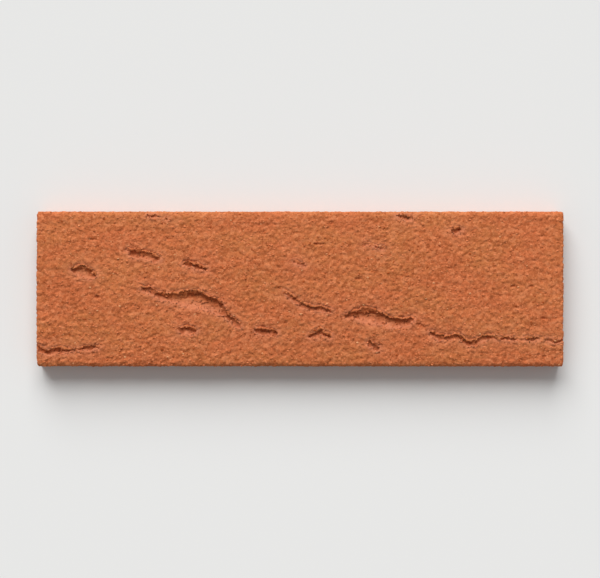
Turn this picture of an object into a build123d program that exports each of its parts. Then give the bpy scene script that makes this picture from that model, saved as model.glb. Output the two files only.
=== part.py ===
"""Clinker brick slip: a thin facing brick of through-coloured fired clay.

The clay is extruded along its length, which forms the keyed back, the two long edges and the low
crown of the face, and is then cut to length by a wire. While it is soft the face is dragged, and
the drag tears it open in long ragged creases, with low lips of swollen clay along them.

The slip lies on its keyed back. +X runs along it, +Y points to the bed edge that is uppermost in
a wall, and +Z points out of the face. The origin is the middle of the back. Millimetres.
"""

import os

from build123d import *

# The block
slip_length = 240.0
slip_height = 71.0
slip_thickness = 14.0  # over the lips of the creases along the middle of the face
face_crown = 1.0  # how much higher the face is along its middle than at its long edges
bed_arris = 2.5  # radius that the die gives the two long edges of the face
end_arris = 0.8  # radius of the fired edges round the wire-cut ends
back_chamfer = 0.8

# Dovetail grooves along the back, where the adhesive keys in
key_pitch = 10.5
key_mouth = 5.5
key_floor = 6.5
key_depth = 1.5
edge_land = 5.0  # least width of the plain strip outside the last groove

# Creases: a torn wall on the upper side, and a facet that slopes up from its foot
crack_depth = 0.9  # how deep the crack itself is in a crease that is fully open
open_facet = 1.4  # least width of the facet where a crease is fully open
facet_fall = 0.2  # how much more a crease deepens for each millimetre of facet
wall_lean = 0.18  # how far a plain torn wall leans back for each millimetre of depth
cutter_rise = 0.6  # how far the cutters stand above the face
tip_rise = 0.2  # height of a cutter's point above the face where a crease runs out
tip_width = 0.05  # half width of a cutter there

# Lips: clay that swells up along the torn wall, and a lower rim beyond the facet
lip_height = 0.35
rim_height = 0.2
lip_reach = 2.6  # how far a lip runs out into the face
rim_reach = 1.4
lip_top = 0.2  # how far the highest point of a lip or a rim lies from the crease
lip_root = 0.1  # how far their skirts go under the face

# Stations of each crease from left to right: x and y of the foot of the torn wall, seen from
# the middle of the face, and the width of the facet below it. A fourth number is the width of
# the wall itself, where it leans back more than a plain one. A crease runs out where its facet
# has no width, and one that goes on past an end of the slip breaks through its edge.
creases = {
    "upper_left_tear": [
        (-80.2, 18.2, 0.0),
        (-76.4, 17.1, 2.6),
        (-72.7, 16.3, 2.5, 0.8),
        (-69.4, 15.5, 1.9, 1.5),
        (-65.7, 14.1, 1.3, 0.9),
        (-61.1, 12.3, 0.0),
    ],
    "upper_left_trail": [
        (-54.7, 11.4, 0.0),
        (-51.6, 11.8, 1.3),
        (-46.8, 10.8, 2.1),
        (-43.3, 9.6, 1.1),
        (-40.3, 8.8, 0.0),
    ],
    "long_fold": [
        (-74.4, 1.0, 0.0),
        (-71.2, 0.7, 1.3),
        (-68.2, 0.1, 1.9),
        (-65.4, -2.0, 2.0),
        (-61.2, -3.2, 2.4, 0.7),
        (-57.2, -3.8, 3.0, 2.0),
        (-53.0, -3.4, 4.6, 2.3),
        (-48.9, -2.6, 6.2, 1.3),
        (-44.8, -2.2, 7.2, 0.7),
        (-41.5, -4.1, 6.4),
        (-38.2, -5.7, 5.8, 0.8),
        (-35.4, -7.7, 4.8, 0.9),
        (-34.1, -10.6, 2.8),
        (-31.2, -13.1, 2.0),
        (-28.4, -15.6, 1.4),
        (-25.3, -17.8, 0.0),
    ],
    "middle_tear": [
        (-9.3, 0.9, 0.0),
        (-6.2, -1.3, 1.1),
        (-2.8, -3.8, 1.3),
        (1.0, -6.9, 1.6),
        (4.4, -7.8, 1.8),
        (8.4, -8.3, 1.5),
        (12.5, -9.2, 1.8),
        (16.2, -10.4, 0.0),
    ],
    "middle_hollow": [
        (17.6, -12.4, 0.0),
        (21.6, -11.6, 1.6),
        (24.8, -11.2, 2.8, 0.8),
        (29.0, -11.2, 4.6, 2.2),
        (33.1, -11.2, 5.2, 2.0),
        (37.2, -12.0, 5.0, 1.2),
        (41.3, -13.5, 4.2),
        (44.6, -14.1, 3.8),
        (49.5, -13.8, 3.0),
        (53.8, -12.4, 0.0),
    ],
    "right_run_out": [
        (57.2, -17.9, 0.0),
        (60.2, -19.7, 1.8),
        (63.5, -21.5, 2.1),
        (66.0, -22.0, 1.8),
        (69.2, -21.3, 1.8),
        (72.7, -20.9, 2.0),
        (74.6, -23.0, 1.7),
        (77.1, -24.2, 2.0),
        (79.1, -24.0, 2.2),
        (81.6, -22.6, 1.9),
        (85.7, -21.5, 1.3),
        (89.8, -22.3, 0.8),
        (95.0, -22.5, 1.0),
        (100.5, -22.6, 0.8),
        (105.8, -22.4, 1.0),
        (111.2, -22.6, 0.7),
        (115.3, -23.4, 0.9),
        (119.0, -23.4, 1.0),
        (126.0, -23.8, 0.0),
    ],
    "lower_left_tear": [
        (-127.0, -20.6, 0.0),
        (-120.5, -25.4, 1.5),
        (-118.8, -26.4, 1.6),
        (-115.6, -28.3, 1.8),
        (-110.6, -27.7, 1.9, 0.6),
        (-106.4, -27.6, 1.5),
        (-102.4, -27.5, 0.5),
        (-97.4, -26.6, 1.3),
        (-93.6, -26.3, 1.3),
        (-88.6, -26.4, 0.0),
    ],
    "star_pit": [
        (-105.2, 9.4, 0.0),
        (-103.2, 9.1, 1.4),
        (-100.8, 8.7, 2.2, 1.6),
        (-98.2, 8.4, 3.2, 2.9),
        (-95.8, 7.9, 3.2, 1.4),
        (-93.6, 7.0, 1.7),
        (-91.4, 5.9, 0.0),
    ],
    "left_pit": [
        (-55.6, -18.9, 0.0),
        (-53.8, -18.0, 2.2),
        (-52.0, -17.6, 3.2, 0.7),
        (-49.8, -18.1, 2.9),
        (-47.8, -18.5, 2.0),
        (-46.0, -19.0, 0.0),
    ],
    "middle_pit": [
        (-20.9, -18.9, 0.0),
        (-19.2, -18.3, 2.6),
        (-16.9, -18.6, 3.0),
        (-14.6, -19.1, 1.6),
        (-12.6, -19.3, 1.5),
        (-11.0, -19.6, 2.2),
        (-9.4, -20.3, 0.0),
    ],
    "forked_pit": [
        (3.3, -21.5, 0.0),
        (5.0, -20.7, 1.9),
        (7.2, -20.3, 2.1),
        (8.4, -19.0, 2.8),
        (9.8, -18.7, 2.4, 0.7),
        (10.7, -20.1, 1.2),
        (12.0, -20.6, 1.6),
        (13.4, -20.9, 1.5),
        (15.0, -21.6, 0.0),
    ],
    "slanting_pit": [
        (29.9, -22.6, 0.0),
        (31.6, -23.9, 1.9),
        (33.5, -25.3, 2.3),
        (35.2, -26.4, 1.8),
        (37.0, -27.0, 0.0),
    ],
    "upper_left_nick": [
        (-71.6, 33.9, 0.0),
        (-69.0, 33.6, 0.9),
        (-65.6, 33.3, 0.9),
        (-63.2, 32.7, 0.3),
        (-60.4, 32.2, 0.8),
        (-57.0, 31.8, 0.0),
    ],
    "upper_right_nick": [
        (42.0, 34.0, 0.0),
        (44.8, 33.6, 1.0),
        (48.2, 33.0, 1.2),
        (50.6, 32.4, 0.9),
        (52.6, 32.0, 0.0),
    ],
    "upper_right_pit": [
        (68.6, 26.5, 0.0),
        (70.4, 27.0, 1.4),
        (72.4, 27.3, 1.6),
        (74.2, 27.0, 0.0),
    ],
    "left_trace": [
        (-95.6, -3.5, 0.0),
        (-91.9, -3.5, 0.8),
        (-87.6, -2.4, 0.0),
    ],
    "middle_trace": [
        (-6.4, 13.2, 0.0),
        (-2.4, 12.6, 0.8),
        (1.8, 11.2, 0.8),
        (5.0, 8.3, 0.0),
    ],
    "upper_right_trace": [
        (26.5, 19.1, 0.0),
        (29.0, 20.4, 0.7),
        (31.4, 21.0, 0.8),
        (33.9, 19.4, 0.8),
        (37.5, 18.9, 0.8),
        (44.6, 18.1, 0.0),
    ],
    "right_trace": [
        (52.0, -15.1, 0.0),
        (54.8, -16.3, 0.8),
        (57.6, -17.5, 0.0),
    ],
}


def face_height(y):
    """Height of the crowned face above the back."""
    return slip_thickness - lip_height - face_crown * (2 * y / slip_height) ** 2


def crease_form(facet_width, wall_width=0.0):
    """How open a crease is, how deep, and how far its torn wall leans back."""
    opening = min(facet_width / open_facet, 1.0)
    depth = crack_depth * opening + facet_fall * facet_width
    return opening, depth, max(wall_lean * depth, wall_width)


def upright_slice(x, points):
    """A face across the slip at x, through points given as y and height above the back."""
    with BuildSketch(Plane.YZ.offset(x)) as slice_sketch:
        with BuildLine():
            Polyline(*points, close=True)
        make_face()
    return slice_sketch.sketch.faces()[0]


def crease_slice(x, y, facet_width, wall_width=0.0):
    """A triangle across a crease, with its point at the foot of the torn wall."""
    depth, wall_reach = crease_form(facet_width, wall_width)[1:]
    top = face_height(y) + cutter_rise
    if facet_width > 0.0:
        height = depth + cutter_rise
        wall_side = wall_reach * height / depth
        facet_side = facet_width * height / depth
    else:
        height = cutter_rise - tip_rise
        wall_side = facet_side = tip_width
    return upright_slice(x, [(y + wall_side, top), (y, top - height), (y - facet_side, top)])


def lip_slice(x, y, facet_width, wall_width=0.0):
    """A low hump across a crease: its lip and its rim, before the crease is cut out of it."""
    opening, depth, wall_reach = crease_form(facet_width, wall_width)
    points = []
    for side, edge, reach, height in (
        (1, y + wall_reach, lip_reach, lip_height),
        (-1, y - facet_width, rim_reach, rim_height),
    ):
        root = edge + side * reach
        crest = edge + side * lip_top
        rise = height * opening - lip_root / 2 * (1 - opening)
        points.append([(root, face_height(root) - lip_root), (crest, face_height(crest) + rise)])
    lip, rim = points
    return upright_slice(x, [*lip, *reversed(rim)])


def lip_stations(stations):
    """The stations of a crease's lips. They run out on the face, also where the crease doesn't."""
    on_face = [station for station in stations if abs(station[0]) < slip_length / 2 - bed_arris]
    if len(on_face) < 3:
        return []
    widest = max(abs(y) + facet_width for x, y, facet_width, *wall_width in on_face)
    if widest + lip_reach > slip_height / 2 - bed_arris:
        return []
    first, *between, last = on_face
    return [(*first[:2], 0.0), *between, (*last[:2], 0.0)]


# Grooves lie in pairs each side of a middle land, as many as the height has room for
last_groove_reach = slip_height / 2 - edge_land - key_floor / 2
groove_count = 2 * int(last_groove_reach / key_pitch + 0.5)

edge_thickness = face_height(slip_height / 2)

with BuildPart() as brick_slip:
    # In the sketch its own Y runs through the thickness, from the back to the face
    with BuildSketch(Plane.YZ.offset(-slip_length / 2)) as die_section:
        with BuildLine():
            Polyline(
                (-slip_height / 2, edge_thickness),
                (-slip_height / 2, 0),
                (slip_height / 2, 0),
                (slip_height / 2, edge_thickness),
            )
            ThreePointArc(
                (slip_height / 2, edge_thickness),
                (0, face_height(0)),
                (-slip_height / 2, edge_thickness),
            )
        make_face()
        fillet(die_section.vertices().group_by(Axis.Y)[-1], bed_arris)
        chamfer(die_section.vertices().group_by(Axis.Y)[0], back_chamfer)
        with GridLocations(key_pitch, 0, groove_count, 1):
            Polygon(
                (-key_mouth / 2, 0),
                (-key_floor / 2, key_depth),
                (key_floor / 2, key_depth),
                (key_mouth / 2, 0),
                mode=Mode.SUBTRACT,
            )
    extrude(amount=slip_length)

    # The wire-cut ends, rounded all round but for the keyed back
    for end_face in brick_slip.faces().filter_by(Axis.X):
        end_edges = end_face.edges().filter_by(lambda edge: edge.center().Z > key_depth)
        fillet(end_edges, end_arris)

    for stations in filter(None, map(lip_stations, creases.values())):
        loft([lip_slice(*station) for station in stations], ruled=True)

    for stations in creases.values():
        loft([crease_slice(*station) for station in stations], ruled=True, mode=Mode.SUBTRACT)

brick_slip.part.label = "brick_slip"
os.makedirs("parts", exist_ok=True)
export_step(brick_slip.part, "parts/brick_slip.step")
print("grooves", groove_count, "volume", round(brick_slip.part.volume, 1))
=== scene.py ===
# %% [markdown]
# # A clinker brick slip
# A brick slip is a thin facing brick. Soft clay is pushed through a die, the face is dragged with a
# rough bar so that it tears, and the column is cut to length by a wire and fired. The measured block
# with its keyed back and its main creases comes from the CAD model. This lesson gives it the skin of
# fired clay: crumbs, pores, ragged tears, die lines, wire marks and sand that has fused to the face.

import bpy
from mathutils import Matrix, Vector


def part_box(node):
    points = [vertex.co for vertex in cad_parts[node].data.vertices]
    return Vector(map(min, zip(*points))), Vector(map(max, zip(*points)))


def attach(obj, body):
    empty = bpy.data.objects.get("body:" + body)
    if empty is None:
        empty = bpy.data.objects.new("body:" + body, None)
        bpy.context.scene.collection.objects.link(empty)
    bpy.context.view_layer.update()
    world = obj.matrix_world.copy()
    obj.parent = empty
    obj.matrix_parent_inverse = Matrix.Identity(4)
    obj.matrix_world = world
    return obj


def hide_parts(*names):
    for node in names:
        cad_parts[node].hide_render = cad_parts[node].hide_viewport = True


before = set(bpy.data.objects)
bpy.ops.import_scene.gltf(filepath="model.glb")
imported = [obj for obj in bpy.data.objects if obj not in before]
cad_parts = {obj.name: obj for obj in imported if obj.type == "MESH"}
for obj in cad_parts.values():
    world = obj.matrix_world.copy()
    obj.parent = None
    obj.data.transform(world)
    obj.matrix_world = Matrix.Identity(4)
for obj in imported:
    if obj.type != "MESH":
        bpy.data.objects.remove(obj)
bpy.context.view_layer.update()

import math
from types import SimpleNamespace

import bmesh
import bpy

MM = 0.001
cad_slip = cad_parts["brick_slip"]
lowest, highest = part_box("brick_slip")
half_length = highest.x
half_height = highest.y
lip_height = 0.35 * MM
face_level = highest.z - lip_height
print("block in mm", [round((b - a) / MM, 2) for a, b in zip(lowest, highest)])

# %% [markdown]
# ## Helpers for node trees
# Geometry nodes and material nodes are made the same way: add a node, then fill each of its inputs
# with a number or with a wire from another node. These helpers keep the trees below short enough to
# read. Most give back the socket that comes out, so that calls can be nested like sums.

# %% Helpers for any node tree


def fill(tree, socket, value):
    """Sets an input to a plain value, or wires it to another node's output."""
    if isinstance(value, bpy.types.NodeSocket):
        tree.links.new(value, socket)
    else:
        socket.default_value = value


def add_node(tree, kind, inputs=None, **settings):
    """Adds one node with its settings made and its inputs filled, by name or by number."""
    node = tree.nodes.new(kind)
    for name, value in settings.items():
        setattr(node, name, value)
    for name, value in (inputs or {}).items():
        fill(tree, node.inputs[name], value)
    return node


def maths(tree, operation, *values):
    """One sum on numbers, such as maths(tree, "SUBTRACT", a, b)."""
    node = add_node(tree, "ShaderNodeMath", dict(enumerate(values)), operation=operation)
    return node.outputs[0]


def times(tree, first, *others):
    """Numbers multiplied together."""
    for other in others:
        first = maths(tree, "MULTIPLY", first, other)
    return first


def plus(tree, first, *others):
    """Numbers added together."""
    for other in others:
        first = maths(tree, "ADD", first, other)
    return first


def rest_of(tree, share):
    """What is left of 1 once a share is taken."""
    return maths(tree, "SUBTRACT", 1.0, share)


def vector_maths(tree, operation, *values):
    """One sum on vectors, or a vector scaled by a number."""
    node = add_node(tree, "ShaderNodeVectorMath", operation=operation)
    second = node.inputs["Scale"] if operation == "SCALE" else node.inputs[1]
    for socket, value in zip([node.inputs[0], second], values):
        fill(tree, socket, value)
    return node.outputs["Vector"]


def axis(tree, vector, number):
    """The x, y or z of a vector, or the red, green or blue of a colour, as 0, 1 or 2."""
    return add_node(tree, "ShaderNodeSeparateXYZ", {0: vector}).outputs[number]


def ease(tree, value, start, end, at_start=0.0, at_end=1.0):
    """A smooth step: at_start up to start, at_end past end, and an even curve between them."""
    inputs = {
        "Value": value,
        "From Min": start,
        "From Max": end,
        "To Min": at_start,
        "To Max": at_end,
    }
    node = add_node(tree, "ShaderNodeMapRange", inputs, interpolation_type="SMOOTHSTEP")
    return node.outputs["Result"]


# %% Helpers for patterns


def squeezed(tree, place, *lengths):
    """The place measured in these lengths, so that a pattern's cells take that size."""
    if len(lengths) == 1:
        lengths = lengths * 3
    size = add_node(tree, "ShaderNodeCombineXYZ", dict(enumerate(lengths))).outputs[0]
    return vector_maths(tree, "DIVIDE", place, size)


def noise(tree, place, seed, detail=2.0, roughness=0.5):
    """Soft noise with lumps one unit wide. Its fourth dimension is the seed."""
    inputs = {"Vector": place, "W": seed, "Scale": 1.0, "Detail": detail, "Roughness": roughness}
    return add_node(tree, "ShaderNodeTexNoise", inputs, noise_dimensions="4D").outputs


def cells(tree, place, seed):
    """A pattern of cells one unit wide. Its fourth dimension is the seed."""
    inputs = {"Vector": place, "W": seed, "Scale": 1.0}
    return add_node(tree, "ShaderNodeTexVoronoi", inputs, voronoi_dimensions="4D").outputs


# %% Helpers for geometry trees


def new_tree(name, sizes):
    """A geometry tree with a Geometry input, then a named input for each of its sizes."""
    tree = bpy.data.node_groups.new(name, "GeometryNodeTree")
    tree.is_modifier = True
    kinds = {
        bpy.types.Object: "NodeSocketObject",
        bpy.types.Material: "NodeSocketMaterial",
        int: "NodeSocketInt",
    }
    tree.interface.new_socket("Geometry", in_out="INPUT", socket_type="NodeSocketGeometry")
    for label, value in sizes.items():
        kind = kinds.get(type(value), "NodeSocketFloat")
        tree.interface.new_socket(label, in_out="INPUT", socket_type=kind)
    tree.interface.new_socket("Geometry", in_out="OUTPUT", socket_type="NodeSocketGeometry")
    given = tree.nodes.new("NodeGroupInput").outputs
    return tree, given


def end_tree(tree, geometry, material):
    """Ends a tree: copies are made real, and everything gets one material."""
    real = add_node(tree, "GeometryNodeRealizeInstances", {"Geometry": geometry}).outputs[0]
    painted = add_node(tree, "GeometryNodeSetMaterial", {"Geometry": real, "Material": material})
    tree.links.new(painted.outputs[0], tree.nodes.new("NodeGroupOutput").inputs["Geometry"])


def triangle_count(mesh):
    """How many triangles the mesh comes to, once its larger faces are split."""
    return sum(len(face.vertices) - 2 for face in mesh.polygons)


def run_modifiers(piece):
    """Puts the evaluated mesh in place of the piece's own, and takes its modifiers away."""
    depsgraph = bpy.context.evaluated_depsgraph_get()
    made = bpy.data.meshes.new_from_object(
        piece.evaluated_get(depsgraph), preserve_all_data_layers=True, depsgraph=depsgraph
    )
    piece.modifiers.clear()
    piece.data = made
    made.name = piece.name
    return triangle_count(made)


def run_tree(piece, tree, sizes):
    """Gives the piece a modifier with the tree and its sizes, and turns the result into a mesh."""
    modifier = piece.modifiers.new(tree.name, "NODES")
    modifier.node_group = tree
    for item in tree.interface.items_tree:
        if item.in_out == "INPUT" and item.name in sizes:
            modifier[item.identifier] = sizes[item.name]
    return run_modifiers(piece)


# %% [markdown]
# ## An even skin
# Relief needs points to move, and a CAD mesh has them only at its corners. Subdividing it would keep
# its long thin triangles. A voxel remesh lays an even net of small squares over the whole closed
# block instead, the dovetail grooves and the torn walls of the creases included.

# %% Copy the block and lay an even net over it
net_pitch = 0.36 * MM
merge_distance = 0.001 * MM


def copy_of_block(name):
    """A closed copy of the CAD mesh: its loose triangles are merged where they meet."""
    block = bmesh.new()
    block.from_mesh(cad_slip.data)
    bmesh.ops.remove_doubles(block, verts=block.verts, dist=merge_distance)
    mesh = bpy.data.meshes.new(name)
    block.to_mesh(mesh)
    block.free()
    copy = bpy.data.objects.new(name, mesh)
    bpy.context.scene.collection.objects.link(copy)
    return copy


fired_slip = copy_of_block("fired_slip")
net = fired_slip.modifiers.new("even_net", "REMESH")
net.mode = "VOXEL"
net.voxel_size = net_pitch
net.use_smooth_shade = True
print("triangles in the net", run_modifiers(fired_slip))

# %% [markdown]
# ## Faint tears
# Between the deep creases the drag leaves faint tears, short dashes and dots that are too shallow for
# the CAD model. Each is a short line drawn on the face, and the relief below sinks the skin along it.
# The last two lines lie on faint creases of the model and deepen them. Lines of plain edges are
# enough, because a geometry tree can ask how far a point is from an edge.

# %% Draw the faint tears as lines on the face
faint_tear_lines = [
    [(6.8, 20.8), (10.4, 20.8)],
    [(-119.5, 26.5), (-117.3, 26.7)],
    [(-2.0, 26.2), (-0.4, 26.1)],
    [(-95.4, 23.1), (-93.6, 23.0)],
    [(-60.4, 23.2), (-58.8, 23.1)],
    [(12.6, 30.0), (13.9, 30.1)],
    [(25.7, 5.0), (27.3, 4.9)],
    [(110.3, -13.0), (111.8, -13.2)],
    [(96.5, 1.6), (98.0, 1.5)],
    [(104.6, 1.5), (105.6, 1.5)],
    [(103.0, -29.8), (104.2, -29.8)],
    [(110.4, -30.3), (111.6, -30.2)],
    [(-92.9, -3.4), (-92.1, -3.3)],
    [(53.6, -15.8), (56.0, -16.8)],
]


def lines_on_face(name, lines):
    """A mesh of bare edges through points given in millimetres from the middle of the face."""
    points = []
    edges = []
    for line in lines:
        first = len(points)
        points += [(x * MM, y * MM, face_level) for x, y in line]
        edges += [(i, i + 1) for i in range(first, len(points) - 1)]
    mesh = bpy.data.meshes.new(name)
    mesh.from_pydata(points, edges, [])
    return bpy.data.objects.new(name, mesh)


faint_tears = lines_on_face("faint_tears", faint_tear_lines)
print("faint tears", len(faint_tear_lines))

# %% [markdown]
# ## Fired clay
# Fired clay is one stuff right through, so one material covers the whole slip. Its colour isn't even:
# ochre and pink patches drift over it, with soft clouds of shade, and each crumb has its own tone.
# Where the drag tore it open the clay is pinker, and that pink is partly painted light: it is kept off
# walls that face away from the light. The colour reads the same cell pattern as the relief, with its
# borders shaken, so that a shade lies on its crumb but doesn't end in straight lines. The tears and
# the painted shade in the creases come from attributes that the relief stores.

# %% Helpers for materials


def new_material(name):
    """A material with nodes, and its main shader."""
    material = bpy.data.materials.new(name)
    material.use_nodes = True
    return material, material.node_tree, material.node_tree.nodes["Principled BSDF"]


def blend(tree, share, first, second):
    """Two colours mixed. A plain colour is given as red, green and blue."""
    node = add_node(tree, "ShaderNodeMix", data_type="RGBA")
    share_socket, first_socket, second_socket = node.inputs[0], node.inputs[6], node.inputs[7]
    fill(tree, share_socket, share)
    for socket, colour in ((first_socket, first), (second_socket, second)):
        fill(tree, socket, (*colour, 1.0) if isinstance(colour, tuple) else colour)
    return node.outputs[2]


def attribute(tree, name):
    """A number that the geometry tree stored on the mesh."""
    return add_node(tree, "ShaderNodeAttribute", attribute_name=name).outputs["Fac"]


# %% Sizes and shades of the clay
crumb_length = 1.7 * MM
crumb_width = 1.6 * MM
crumb_wobble = 0.9
speckle_size = 0.65 * MM
torn_and_lit_share = 0.65
bump_depth = 0.5 * MM
skin_seed = 4.0
ochre_clay = (0.503, 0.159, 0.0525)
pink_clay = (0.535, 0.144, 0.0520)
# Paler pink of torn clay, partly painted light: it is kept off walls that face away from the light.
torn_and_lit_clay = (0.56, 0.195, 0.102)
# Painted shade: this darker clay is mixed in at the foot of a crease, where little light reaches.
painted_shade_clay = (0.36, 0.074, 0.018)
dark_crumb = (0.33, 0.078, 0.021)
pale_crumb = (0.72, 0.26, 0.115)
print("crumbs of colour in mm", round(crumb_length / MM, 2), "by", round(crumb_width / MM, 2))

# %% Colour of the clay


def clay_colour(tree, place):
    """The colour at a place, and the tone of the crumb that it lies in, from 0 to 1."""
    patches = noise(tree, squeezed(tree, place, 30 * MM, 14 * MM, 14 * MM), 1.0, 3.0)[0]
    colour = blend(tree, ease(tree, patches, 0.38, 0.62), ochre_clay, pink_clay)
    clouds = noise(tree, squeezed(tree, place, 24 * MM, 12 * MM, 12 * MM), 9.0)[0]
    crumb_place = squeezed(tree, place, crumb_length, crumb_width, crumb_width)
    wobble = noise(tree, vector_maths(tree, "SCALE", crumb_place, 1.6), 5.0)[1]
    wobble = vector_maths(tree, "SUBTRACT", wobble, (0.5, 0.5, 0.5))
    wobble = vector_maths(tree, "SCALE", wobble, crumb_wobble)
    crumb = cells(tree, vector_maths(tree, "ADD", crumb_place, wobble), skin_seed)
    tone = axis(tree, crumb["Color"], 0)
    sandy = noise(tree, squeezed(tree, place, speckle_size), 8.0)[0]
    for pattern, start, end, share, shade in (
        (clouds, 0.4, 0.65, 0.14, dark_crumb),
        (tone, 0.4, 0.0, 0.6, dark_crumb),
        (tone, 0.6, 1.0, 0.4, pale_crumb),
        (sandy, 0.48, 0.3, 0.5, dark_crumb),
        (sandy, 0.52, 0.7, 0.45, pale_crumb),
    ):
        colour = blend(tree, ease(tree, pattern, start, end, 0.0, share), colour, shade)
    # Partly painted light: the pink of torn clay is kept off walls that face away from the light.
    colour = blend(tree, times(tree, attribute(tree, "torn"), torn_and_lit_share), colour, torn_and_lit_clay)
    # Painted shade: darker clay is mixed in at the foot of the creases and in faint tears.
    return blend(tree, attribute(tree, "crack"), colour, painted_shade_clay), tone


# %% Mix the fired clay


def clay_bumps(tree, place):
    """Grit and lumps too small for the net, lines on the edges and marks on the ends."""
    grit = noise(tree, squeezed(tree, place, 0.45 * MM), 2.0, 3.0)[0]
    lumps = noise(tree, squeezed(tree, place, 1.1 * MM), 3.0, 2.0)[0]
    die_lines = noise(tree, squeezed(tree, place, 60 * MM, 0.5 * MM, 0.5 * MM), 6.0, 3.0)[0]
    wire_marks = noise(tree, squeezed(tree, place, 2 * MM, 9 * MM, 0.5 * MM), 7.0, 3.0)[0]
    height = plus(
        tree,
        times(tree, grit, 0.3),
        lumps,
        times(tree, die_lines, attribute(tree, "die_skin"), 2.4),
        times(tree, wire_marks, attribute(tree, "wire_cut"), 2.2),
    )
    inputs = {"Height": height, "Strength": 0.5, "Distance": bump_depth}
    return add_node(tree, "ShaderNodeBump", inputs).outputs[0]


def fired_clay():
    """Clay with drifting patches, soft clouds, shaded crumbs, pinker tears that are partly painted
    light, and painted crease shade.
    """
    material, tree, shader = new_material("fired_clay_skin")
    place = add_node(tree, "ShaderNodeTexCoord").outputs["Object"]
    colour, tone = clay_colour(tree, place)
    fill(tree, shader.inputs["Base Color"], colour)
    fill(tree, shader.inputs["Roughness"], ease(tree, tone, 0.0, 1.0, 0.8, 0.95))
    shader.inputs["Specular IOR Level"].default_value = 0.1
    fill(tree, shader.inputs["Normal"], clay_bumps(tree, place))
    return material


clay = fired_clay()
print("nodes in the fired clay", len(clay.node_tree.nodes))

# %% [markdown]
# ## Where a point of the skin lies
# The face, the long edges, the cut ends and the back are each finished another way, so the relief
# first asks where a point lies. Smooth steps on its distance from the face, the ends and the edges
# give masks from 0 to 1 that fade into each other round the arrises. The face is a little crowned and
# its arrises are round, so both falls are taken off before a point counts as lying in a crease. The
# distance from the creases is asked of the creases themselves.

# %% Form of the block
block_form = {
    "Face level": face_level,
    "Block height": highest.z,
    "Half length": half_length,
    "Half height": half_height,
    "Lip height": lip_height,
    "Crown": 1.0 * MM,
    "Bed arris": 2.5 * MM,
    "End arris": 0.8 * MM,
}
print("form in mm", {name: round(size / MM, 2) for name, size in block_form.items()})

# %% Falls of the face


def crown_fall(tree, given, y):
    """How much lower the crowned face is here than along its middle."""
    across = maths(tree, "DIVIDE", y, given["Half height"])
    return times(tree, across, across, given["Crown"])


def below_crown(tree, given, place):
    """How far a point lies below the crowned face."""
    fall = crown_fall(tree, given, axis(tree, place, 1))
    crowned = maths(tree, "SUBTRACT", given["Face level"], fall)
    return maths(tree, "SUBTRACT", crowned, axis(tree, place, 2))


def arris_fall(tree, inset, radius):
    """How far a rounded arris lies below the face, at this distance in from its edge."""
    outside = maths(tree, "MAXIMUM", maths(tree, "SUBTRACT", radius, inset), 0.0)
    height = maths(tree, "SUBTRACT", times(tree, radius, radius), times(tree, outside, outside))
    return maths(tree, "SUBTRACT", radius, maths(tree, "SQRT", maths(tree, "MAXIMUM", height, 0.0)))


# %% Masks


def masks(tree, given, place):
    """How much a point belongs to each side of the slip, and how deep in a crease it lies."""
    x, y = (maths(tree, "ABSOLUTE", axis(tree, place, number)) for number in (0, 1))
    below_face = below_crown(tree, given, place)
    from_end = maths(tree, "SUBTRACT", given["Half length"], x)
    from_edge = maths(tree, "SUBTRACT", given["Half height"], y)
    end_fall = arris_fall(tree, from_end, given["End arris"])
    edge_fall = arris_fall(tree, from_edge, given["Bed arris"])
    depth = maths(tree, "SUBTRACT", below_face, plus(tree, end_fall, edge_fall))
    inside = times(
        tree,
        ease(tree, from_end, 0.9 * MM, 1.3 * MM),
        ease(tree, from_edge, 0.8 * MM, 1.3 * MM),
        ease(tree, below_face, 4 * MM, 5 * MM, 1.0, 0.0),
    )
    fold = times(tree, ease(tree, depth, 0.08 * MM, 0.3 * MM), inside)
    face = maths(tree, "MAXIMUM", ease(tree, below_face, 1.2 * MM, 2.6 * MM, 1.0, 0.0), fold)
    off_face = rest_of(tree, face)
    edge = times(tree, ease(tree, from_edge, 0.3 * MM, 0.9 * MM, 1.0, 0.0), off_face)
    end = times(tree, ease(tree, from_end, 0.2 * MM, 0.7 * MM, 1.0, 0.0), off_face)
    swollen = maths(tree, "MAXIMUM", times(tree, below_face, -1.0), 0.0)
    return SimpleNamespace(
        depth=depth,
        swollen=swollen,
        inside=inside,
        fold=fold,
        face=face,
        off_face=off_face,
        edge=edge,
        end=end,
    )


# %% Distances from the creases


def nearest_part(tree, given, chosen):
    """The distance from the nearest of the chosen faces, and the place on it."""
    inputs = {"Geometry": given["Geometry"], "Selection": chosen}
    parts = add_node(tree, "GeometryNodeSeparateGeometry", inputs, domain="FACE").outputs
    inputs = {0: parts["Selection"]}
    nearest = add_node(tree, "GeometryNodeProximity", inputs, target_element="FACES").outputs
    return nearest["Distance"], nearest["Position"]


def by_the_creases(tree, given, place, outward, where):
    """How far a point is from a crease and from its torn wall, and 1 if it lies above both."""
    deep = maths(tree, "GREATER_THAN", where.fold, 0.5)
    from_crease, crease_place = nearest_part(tree, given, deep)
    upwards = axis(tree, vector_maths(tree, "SUBTRACT", place, crease_place), 1)
    faces_down = maths(tree, "LESS_THAN", axis(tree, outward, 1), -0.35)
    steep = maths(tree, "LESS_THAN", axis(tree, outward, 2), 0.6)
    from_wall = nearest_part(tree, given, times(tree, deep, faces_down, steep))[0]
    return from_crease, from_wall, ease(tree, upwards, 0.0, 0.3 * MM)


# %% [markdown]
# ## Crumbs and pores
# The face is full of crumbs about a millimetre wide, drawn out a little along the slip, with pores
# and dashes between them where a crumb was plucked out. Painted bumps would stay flat at the arrises
# and cast no shadow, so the crumbs are real relief: a cell pattern gives domes, noise at two sizes
# makes them uneven, and thresholds on other patterns open the pores. Each gives how far to sink.

# %% Crumbs, dashes and pores


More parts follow.
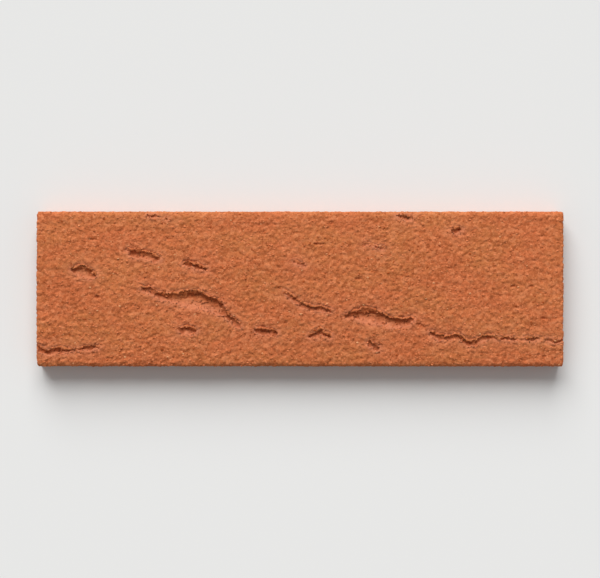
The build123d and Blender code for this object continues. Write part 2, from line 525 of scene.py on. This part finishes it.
def crumb_sink(tree, given, place):
    """Between 0 on the crests and 1 in the dips between crumbs."""
    crumb = squeezed(tree, place, given["Crumb length"], given["Crumb width"], given["Crumb width"])
    dome = ease(tree, cells(tree, crumb, given["Seed"])["Distance"], 0.1, 0.7, 1.0, 0.0)
    lumps = noise(tree, squeezed(tree, place, 2.2 * MM, 2.3 * MM, 2.2 * MM), given["Seed"], 2.0)[0]
    grit = noise(tree, squeezed(tree, place, 1.0 * MM, 1.15 * MM, 1.0 * MM), given["Seed"], 1.0)[0]
    rise = plus(
        tree,
        times(tree, dome, 0.22),
        times(tree, ease(tree, lumps, 0.3, 0.7), 0.42),
        times(tree, ease(tree, grit, 0.3, 0.7), 0.36),
    )
    return rest_of(tree, rise)


def hole_sink(tree, given, place):
    """Plucked dashes and round pores, as a share of the pore depth."""
    dash_seed = plus(tree, given["Seed"], 7.0)
    dashes = noise(tree, squeezed(tree, place, 3.2 * MM, 1.8 * MM, 1.8 * MM), dash_seed, 1.0)[0]
    pores = cells(tree, squeezed(tree, place, 2.6 * MM, 2.2 * MM, 2.2 * MM), given["Seed"])
    is_open = ease(tree, axis(tree, pores["Color"], 0), 0.86, 0.9)
    width = ease(tree, axis(tree, pores["Color"], 1), 0.0, 1.0, 0.25, 0.55)
    pore = times(tree, ease(tree, pores["Distance"], 0.05, width, 1.0, 0.0), is_open)
    return maths(tree, "MAXIMUM", ease(tree, dashes, 0.6, 0.8), pore)


# %% [markdown]
# ## Lips, faint tears and scoops
# The clay swells into a lip above a deep crease. The bar wore some stretches of the lips down again,
# and all of the lip above a wall that leans back. A faint tear is a groove round its drawn line, wider
# below than above, because the bar was dragged from above. The facet of a deep crease is scooped:
# steep at its rim and flat at its foot.

# %% Lips, faint tears and scoops


def lip_wear(tree, given, place, where, from_wall, above):
    """How far the bar wore the lips down: in patches, and above a wall that leans back."""
    patches = noise(tree, squeezed(tree, place, 5 * MM), given["Seed"])[0]
    worn = ease(tree, patches, 0.35, 0.68, 0.95, 0.0)
    leaning = times(tree, above, ease(tree, from_wall, 0.9 * MM, 1.8 * MM))
    return times(tree, where.swollen, maths(tree, "MAXIMUM", worn, leaning))


def faint_tear_sink(tree, given, place):
    """The grooves along the drawn lines, from 0 to 1."""
    lines = add_node(tree, "GeometryNodeObjectInfo", {"Object": given["Faint tears"]})
    nearest = add_node(
        tree, "GeometryNodeProximity", {0: lines.outputs["Geometry"]}, target_element="EDGES"
    ).outputs
    upwards = axis(tree, vector_maths(tree, "SUBTRACT", place, nearest["Position"]), 1)
    wander = noise(tree, squeezed(tree, place, 1.6 * MM), plus(tree, given["Seed"], 3.0))[0]
    reach = times(
        tree,
        ease(tree, wander, 0.3, 0.7, 1.0 * MM, 1.7 * MM),
        ease(tree, upwards, -0.1 * MM, 0.1 * MM, 1.0, 0.4),
    )
    across = maths(tree, "DIVIDE", nearest["Distance"], reach)
    groove = ease(tree, across, 0.0, 1.0, 1.0, 0.0)
    return times(tree, groove, ease(tree, wander, 0.35, 0.5, 0.85, 1.0))


deepest_crease = 2.2 * MM
scoop_power = 0.6


def scoop_sink(tree, where, outward):
    """The facet of a crease sinks into a scoop, steep at its rim and flat at its foot."""
    share = maths(tree, "DIVIDE", where.depth, deepest_crease)
    scooped = maths(tree, "POWER", maths(tree, "MAXIMUM", share, 0.0), scoop_power)
    deeper = times(tree, maths(tree, "SUBTRACT", scooped, share), deepest_crease)
    slopes_up = ease(tree, axis(tree, outward, 1), -0.1, 0.05)
    facet = times(tree, where.inside, ease(tree, axis(tree, outward, 2), 0.5, 0.7), slopes_up)
    return times(tree, maths(tree, "MAXIMUM", deeper, 0.0), facet)


# %% [markdown]
# ## Die lines and wire marks
# The die leaves fine lines along the edges and the back, and the cutting wire drags across the ends
# and pulls crumbs out of them. Noise that is stretched about ninety times one way is a good die line,
# and noise that is stretched less, and across the slip, is a wire mark.

# %% Lines and marks


def die_line_sink(tree, given, place):
    """Lines along the slip, from 0 to 1."""
    lines = noise(tree, squeezed(tree, place, 80 * MM, 0.9 * MM, 0.9 * MM), given["Seed"], 3.0)[0]
    return ease(tree, lines, 0.3, 0.7)


def wire_mark_sink(tree, given, place):
    """Marks across the cut ends, from 0 to 1."""
    marks = noise(tree, squeezed(tree, place, 3 * MM, 14 * MM, 0.9 * MM), given["Seed"], 3.0)[0]
    return ease(tree, marks, 0.3, 0.7)


# %% [markdown]
# ## Frayed edges and clods
# The creases were cut with straight edges, and clay doesn't tear like that. Noise shakes the points
# beside a crease sideways, which frays its edges without opening the mesh. The upper edge is pushed
# back as well, so that more of the dark wall shows from above. Clods of clay stay in the creases, so
# that their depth varies. A shaken point could leave the block, so its place is kept inside.

# %% Frayed edges and clods


def frayed(tree, given, place, where, from_crease, from_wall, above):
    """A sideways movement that makes the creases ragged and pushes their upper edges back."""
    coarse = noise(tree, squeezed(tree, place, 2.6 * MM, 2.2 * MM, 1.1 * MM), given["Seed"], 1.0)[1]
    fine = noise(tree, squeezed(tree, place, 0.95 * MM, 0.85 * MM, 0.7 * MM), given["Seed"], 1.0)[1]
    both = vector_maths(tree, "ADD", coarse, fine)
    sideways = vector_maths(tree, "SUBTRACT", both, (1.0, 1.0, 1.0))
    sideways = vector_maths(tree, "MULTIPLY", sideways, (1.0, 1.0, 0.0))
    near = ease(tree, from_crease, 0.3 * MM, 2.5 * MM, 1.0, 0.1)
    how_far = times(tree, given["Raggedness"], near, where.inside)
    shaken = vector_maths(tree, "SCALE", sideways, how_far)
    patchy = ease(tree, axis(tree, coarse, 2), 0.4, 0.6, 0.4, 1.0)
    close = times(tree, above, ease(tree, from_wall, 0.1 * MM, 1.6 * MM, 1.0, 0.0), patchy)
    back = times(tree, given["Wall retreat"], close, rest_of(tree, where.fold))
    retreat = add_node(tree, "ShaderNodeCombineXYZ", {1: back}).outputs[0]
    return vector_maths(tree, "ADD", shaken, retreat)


def clod_share(tree, given, place):
    """How full a crease is of clods of torn clay, from 0 to 1, so that its depth varies."""
    clod_seed = plus(tree, given["Seed"], 5.0)
    lumps = noise(tree, squeezed(tree, place, 2.2 * MM, 1.4 * MM, 1.4 * MM), clod_seed)[0]
    return ease(tree, lumps, 0.4, 0.7)


safe_margin = 0.05 * MM


def kept_in_block(tree, given, place):
    """A place that would leave the measured block is brought back, to just inside its side."""
    sides = (given["Half length"], given["Half height"], given["Block height"])
    reach = {number: maths(tree, "SUBTRACT", side, safe_margin) for number, side in enumerate(sides)}
    top = add_node(tree, "ShaderNodeCombineXYZ", reach).outputs[0]
    bottom = vector_maths(tree, "MULTIPLY", top, (-1.0, -1.0, 0.0))
    bottom = vector_maths(tree, "ADD", bottom, (0.0, 0.0, safe_margin))
    return vector_maths(tree, "MAXIMUM", vector_maths(tree, "MINIMUM", place, top), bottom)


# %% [markdown]
# ## Pink tears and painted crease shade
# Freshly torn clay is pinker than the skin that the die left. The pink is partly painted light: it is
# kept off walls that face away from the light and fades deep in a crease, which paints shade there.
# Little light reaches the foot of a crease, and that shade is painted too, with a darker clay. Both
# could be painted by hand on an image, but the tree knows where the creases are. So it works out two
# numbers for each point, stores them on the mesh, and the material mixes its colours by them.

# %% Pink tears and painted crease shade


def stored(tree, geometry, name, value):
    """The geometry with a named number stored on its points, for the material to read."""
    inputs = {"Geometry": geometry, "Name": name, "Value": value}
    return add_node(tree, "GeometryNodeStoreNamedAttribute", inputs, domain="POINT").outputs[0]


def torn_and_lit_mask(tree, where, from_crease, faces_up):
    """How pink the clay is: most on the shallow facet of a crease, and a little all round it. Partly
    painted light: kept off walls that face away from the light, and fading deep down as painted shade.
    """
    close = times(
        tree,
        ease(tree, from_crease, 0.2 * MM, 2.5 * MM, 0.75, 0.0),
        ease(tree, where.depth, 0.2 * MM, 1.7 * MM, 1.0, 0.1),
    )
    wide = ease(tree, from_crease, 0.2 * MM, 8 * MM, 0.25, 0.0)
    return times(tree, plus(tree, close, wide), where.face, faces_up)


def painted_shade_mask(tree, given, place, where, from_wall, faces_up, clods, faint):
    """Painted shade: how dark the clay is by a torn wall, where it faces down away from the light,
    deep down and in faint tears.
    """
    reach = noise(tree, squeezed(tree, place, 1.8 * MM), plus(tree, given["Seed"], 9.0))[0]
    reach = ease(tree, reach, 0.35, 0.65, 1.4 * MM, 2.8 * MM)
    by_the_wall = ease(tree, maths(tree, "DIVIDE", from_wall, reach), 0.4, 1.1, 0.6, 0.0)
    between_clods = times(tree, by_the_wall, rest_of(tree, times(tree, clods, 0.7)))
    on_the_wall = times(tree, rest_of(tree, faces_up), 0.4)
    deep_down = ease(tree, where.depth, 0.8 * MM, deepest_crease, 0.0, 0.25)
    dark = maths(tree, "MAXIMUM", maths(tree, "MAXIMUM", between_clods, on_the_wall), deep_down)
    return maths(tree, "MAXIMUM", times(tree, dark, where.fold), times(tree, faint, 0.65))


# %% [markdown]
# ## The skin tree
# All the parts say how far a point sinks, so they are added up, and each point moves inwards along
# its own normal. The crumbs reach nearly as far above the face as below it. Two more movements fill
# the creases with clods and fray their edges. The masks are stored before the points move, because
# they depend on where a point lay at first.

# %% Sizes of the skin
grain_in_folds = 0.6
grain_on_ends = 0.7
grain_on_edges = 0.4
crumb_share_above = 0.45
skin_sizes = {
    **block_form,
    "Crumb length": crumb_length,
    "Crumb width": crumb_width,
    "Crumb height": 1.04 * MM,
    "Pore depth": 0.36 * MM,
    "Raggedness": 2.8 * MM,
    "Wall retreat": 0.65 * MM,
    "Tear depth": 1.0 * MM,
    "Clod height": 0.45,
    "Die line depth": 0.28 * MM,
    "Wire mark depth": 0.45 * MM,
    "Seed": skin_seed,
    "Faint tears": faint_tears,
    "Clay": clay,
}
print("inputs of the skin tree", len(skin_sizes))

# %% Add up how far a point sinks


def whole_sink(tree, given, place, outward, where, worn_lips, faint):
    """How far a point sinks in all: the grain of each side, and what shapes the creases."""
    crumbs = times(tree, crumb_sink(tree, given, place), given["Crumb height"])
    holes = times(tree, hole_sink(tree, given, place), given["Pore depth"])
    grain = plus(tree, crumbs, holes)
    calm = ease(tree, where.fold, 0.0, 1.0, 1.0, grain_in_folds)
    on_sides = plus(tree, where.end, times(tree, where.edge, grain_on_edges))
    room_above = ease(tree, where.swollen, 0.0, given["Lip height"], 1.0, 0.0)
    off_folds = rest_of(tree, where.fold)
    middle = times(tree, given["Crumb height"], -crumb_share_above, room_above, off_folds)
    return plus(
        tree,
        times(tree, grain, calm, where.face),
        times(tree, plus(tree, middle, worn_lips), where.face),
        times(tree, grain, on_sides, grain_on_ends),
        times(tree, faint, given["Tear depth"]),
        scoop_sink(tree, where, outward),
        times(tree, die_line_sink(tree, given, place), given["Die line depth"], where.off_face),
        times(tree, wire_mark_sink(tree, given, place), given["Wire mark depth"], where.end),
    )


# %% Build and run the skin tree


def skin_tree():
    """The tree that turns the even net into the skin of the slip."""
    tree, given = new_tree("fired_skin", skin_sizes)
    place = add_node(tree, "GeometryNodeInputPosition").outputs[0]
    outward = add_node(tree, "GeometryNodeInputNormal").outputs[0]
    where = masks(tree, given, place)
    from_crease, from_wall, above = by_the_creases(tree, given, place, outward, where)
    worn_lips = lip_wear(tree, given, place, where, from_wall, above)
    faint = times(tree, faint_tear_sink(tree, given, place), where.face)
    clods = clod_share(tree, given, place)
    filled = times(tree, clods, given["Clod height"], where.depth, where.inside)
    height = {2: maths(tree, "MAXIMUM", filled, 0.0)}
    upwards = add_node(tree, "ShaderNodeCombineXYZ", height).outputs[0]
    sink = whole_sink(tree, given, place, outward, where, worn_lips, faint)
    inwards = vector_maths(tree, "SCALE", outward, times(tree, sink, -1.0))
    sideways = frayed(tree, given, place, where, from_crease, from_wall, above)
    moved = place
    for movement in (upwards, inwards, sideways):
        moved = vector_maths(tree, "ADD", moved, movement)
    faces_up = ease(tree, axis(tree, outward, 1), -0.3, -0.1)
    marked = given["Geometry"]
    for name, value in (
        # Partly painted light: the pink is kept off walls facing away from the light and fades deep
        # down.
        ("torn", torn_and_lit_mask(tree, where, from_crease, faces_up)),
        # Painted shade in the creases, for the material to darken the clay.
        ("crack", painted_shade_mask(tree, given, place, where, from_wall, faces_up, clods, faint)),
        ("die_skin", where.edge),
        ("wire_cut", where.end),
    ):
        marked = stored(tree, marked, name, value)
    inputs = {"Geometry": marked, "Position": kept_in_block(tree, given, moved)}
    shaped = add_node(tree, "GeometryNodeSetPosition", inputs).outputs[0]
    end_tree(tree, shaped, given["Clay"])
    return tree


print("triangles with relief", run_tree(fired_slip, skin_tree(), skin_sizes))
bpy.data.objects.remove(faint_tears)

# %% [markdown]
# ## Thinning the net
# The even net is far denser than the back needs. Collapsing edges by how little they change the shape
# thins the plain places first and keeps the triangles for the crumbs and the tears. The sand below
# gets a piece of its own, so that neither piece is too heavy.

# %% Thin the net
most_triangles = 190_000


def thin_net(piece, most):
    """Collapses edges, the plainest first, until the piece has at most that many triangles."""
    thin = piece.modifiers.new("thin", "DECIMATE")
    thin.ratio = most / triangle_count(piece.data)
    return run_modifiers(piece)


print("triangles kept", thin_net(fired_slip, most_triangles))
for face in fired_slip.data.polygons:
    face.use_smooth = True

# %% [markdown]
# ## Fused sand
# Sand and crushed brick are strewn on the face before it is fired, and the grains fuse to it. There
# are thousands, all alike but for size, turn and shade, which is what scattering copies is for: points
# are spread over the face, each gets an angular grain, and the copies are made real at the end.

# %% Mix the grains' material
dark_grain = (0.41, 0.105, 0.032)
pale_grain = (0.66, 0.212, 0.085)
cream_grain = (0.70, 0.34, 0.16)
burnt_grain = (0.34, 0.065, 0.012)


def grain_clay():
    """The same clay, a shade for each grain: most are clay, a few are burnt and a few are cream."""
    material, tree, shader = new_material("fused_sand_grain")
    shade = attribute(tree, "grain_shade")
    colour = blend(tree, ease(tree, shade, 0.05, 0.75), dark_grain, pale_grain)
    colour = blend(tree, ease(tree, shade, 0.97, 0.99), colour, cream_grain)
    colour = blend(tree, ease(tree, shade, 0.05, 0.02), colour, burnt_grain)
    fill(tree, shader.inputs["Base Color"], colour)
    fill(tree, shader.inputs["Roughness"], ease(tree, shade, 0.0, 1.0, 0.9, 0.7))
    shader.inputs["Specular IOR Level"].default_value = 0.12
    return material


# %% Sizes of the sand
sand_sizes = {
    "Grains per square metre": 520_000.0,
    "Smallest radius": 0.2 * MM,
    "Largest radius": 0.56 * MM,
    **block_form,
    "Seed": 11,
    "Grain": grain_clay(),
}
flattened = (1.3, 1.0, 0.6)
sunk_share = 0.25
least_turn = (0.0, -0.3, -0.8)
most_turn = (math.tau, 0.3, 0.8)
print("largest grain in mm", round(2 * flattened[0] * sand_sizes["Largest radius"] / MM, 2))

# %% Scatter the grains


def luck(tree, seed):
    """A number from 0 to 1 for each point, as if by chance."""
    return add_node(tree, "FunctionNodeRandomValue", {"Seed": seed}, data_type="FLOAT").outputs[1]


def sand_tree():
    """The tree that strews grains over the face and sinks each a little into it."""
    tree, given = new_tree("fused_sand", sand_sizes)
    outward = add_node(tree, "GeometryNodeInputNormal").outputs[0]
    place = add_node(tree, "GeometryNodeInputPosition").outputs[0]
    high = maths(tree, "LESS_THAN", below_crown(tree, given, place), 1.2 * MM)
    upright = maths(tree, "GREATER_THAN", axis(tree, outward, 2), 0.55)
    inputs = {
        "Mesh": given["Geometry"],
        "Selection": maths(tree, "MULTIPLY", high, upright),
        "Density": given["Grains per square metre"],
        "Seed": given["Seed"],
    }
    points = add_node(tree, "GeometryNodeDistributePointsOnFaces", inputs).outputs["Points"]
    mostly_small = maths(tree, "POWER", luck(tree, given["Seed"]), 2.5)
    spread = maths(tree, "SUBTRACT", given["Largest radius"], given["Smallest radius"])
    radius = plus(tree, given["Smallest radius"], times(tree, mostly_small, spread))
    points = stored(tree, points, "grain_radius", radius)
    shade = luck(tree, plus(tree, given["Seed"], 1.0))
    points = stored(tree, points, "grain_shade", shade)
    inputs = {"Name": "grain_radius"}
    radius = add_node(tree, "GeometryNodeInputNamedAttribute", inputs).outputs[0]
    down = {2: times(tree, radius, -sunk_share)}
    inputs = {"Geometry": points, "Offset": add_node(tree, "ShaderNodeCombineXYZ", down).outputs[0]}
    points = add_node(tree, "GeometryNodeSetPosition", inputs).outputs[0]
    inputs = {"Radius": 1.0, "Subdivisions": 1}
    ball = add_node(tree, "GeometryNodeMeshIcoSphere", inputs).outputs[0]
    inputs = {0: least_turn, 1: most_turn, "Seed": plus(tree, given["Seed"], 2.0)}
    turn = add_node(tree, "FunctionNodeRandomValue", inputs, data_type="FLOAT_VECTOR").outputs[0]
    size = vector_maths(tree, "SCALE", flattened, radius)
    inputs = {"Points": points, "Instance": ball, "Rotation": turn, "Scale": size}
    grains = add_node(tree, "GeometryNodeInstanceOnPoints", inputs).outputs[0]
    grains = add_node(tree, "GeometryNodeRealizeInstances", {"Geometry": grains}).outputs[0]
    inputs = {"Geometry": grains, "Position": kept_in_block(tree, given, place)}
    grains = add_node(tree, "GeometryNodeSetPosition", inputs).outputs[0]
    end_tree(tree, grains, given["Grain"])
    return tree


fused_sand = bpy.data.objects.new("fused_sand", fired_slip.data.copy())
bpy.context.scene.collection.objects.link(fused_sand)
print("triangles of sand", run_tree(fused_sand, sand_tree(), sand_sizes))

# %% [markdown]
# ## What the pieces stand for
# The slip is one stiff body, so the skin and its sand ride on that body and never move apart. Together
# they take the place of the plain block, which would otherwise show wherever the skin lies below it.

# %% Attach the pieces to the body and hide the plain block
for piece in (fired_slip, fused_sand):
    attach(piece, "root")
    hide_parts("brick_slip")
    print(piece.name, "has", triangle_count(piece.data), "triangles")

# %% [markdown]
# ## Floor, light and camera
# The slip lies on a pale floor and the camera looks straight down on it, through a long lens so that
# the sides don't show. Relief this fine only shows when the light rakes across it. One broad sun from
# beyond the top edge does that: it lights all of the face alike, which a lamp close by would not, and
# it keeps the cracks dark under their lips. The world adds a little light from all round. The floor's
# own colour is a little darker than the backdrop's, so that in this light the two look alike.

# %% Floor
backdrop_colour = (0.8, 0.8, 0.79)
floor_colour = (0.779, 0.779, 0.77)
floor_reach = 3.0
scene = bpy.context.scene
floor_paint, _, floor_shader = new_material("studio_floor")
floor_shader.inputs["Base Color"].default_value = (*floor_colour, 1)
floor_shader.inputs["Roughness"].default_value = 0.7
floor_shader.inputs["Specular IOR Level"].default_value = 0.0
floor_mesh = bpy.data.meshes.new("floor")
corners = ((-1, -1), (1, -1), (1, 1), (-1, 1))
floor_corners = [(x * floor_reach, y * floor_reach, 0) for x, y in corners]
floor_mesh.from_pydata(floor_corners, [], [(0, 1, 2, 3)])
floor_mesh.materials.append(floor_paint)
floor = bpy.data.objects.new("floor", floor_mesh)
scene.collection.objects.link(floor)

# %% Light
room_light = (0.32, 0.32, 0.32)
sun_place = (-0.25, 1.45, 1.15)
sun_spread = math.radians(50)
sun_strength = 3.62
scene.view_settings.view_transform = "Standard"
world = bpy.data.worlds.new("studio")
scene.world = world
world.use_nodes = True
sky = world.node_tree.nodes["Background"]
ray = add_node(world.node_tree, "ShaderNodeLightPath").outputs
seen = ray["Is Camera Ray"]
for kind in ("Is Glossy Ray", "Is Transmission Ray"):
    seen = maths(world.node_tree, "MAXIMUM", seen, ray[kind])
sky_colour = blend(world.node_tree, seen, room_light, backdrop_colour)
fill(world.node_tree, sky.inputs["Color"], sky_colour)
sun_data = bpy.data.lights.new("key", "SUN")
sun_data.angle = sun_spread
sun_data.energy = sun_strength
sun = bpy.data.objects.new("key", sun_data)
sun.location = sun_place
sun.rotation_mode = "QUATERNION"
sun.rotation_quaternion = (-sun.location).to_track_quat("-Z", "Y")
scene.collection.objects.link(sun)
sun_height = math.atan2(sun_place[2], math.hypot(sun_place[0], sun_place[1]))
print("sun above the floor in degrees", round(math.degrees(sun_height)))

# %% Camera
camera_data = bpy.data.cameras.new("camera")
camera_data.lens = 120
camera_data.sensor_width = 36
camera = bpy.data.objects.new("camera", camera_data)
share_of_width = 0.88
view_width = 2 * half_length / share_of_width
camera.location = (0, 0, face_level + view_width * camera_data.lens / camera_data.sensor_width)
scene.collection.objects.link(camera)
scene.camera = camera
print("camera above the face in m", round(camera.location.z - face_level, 3))
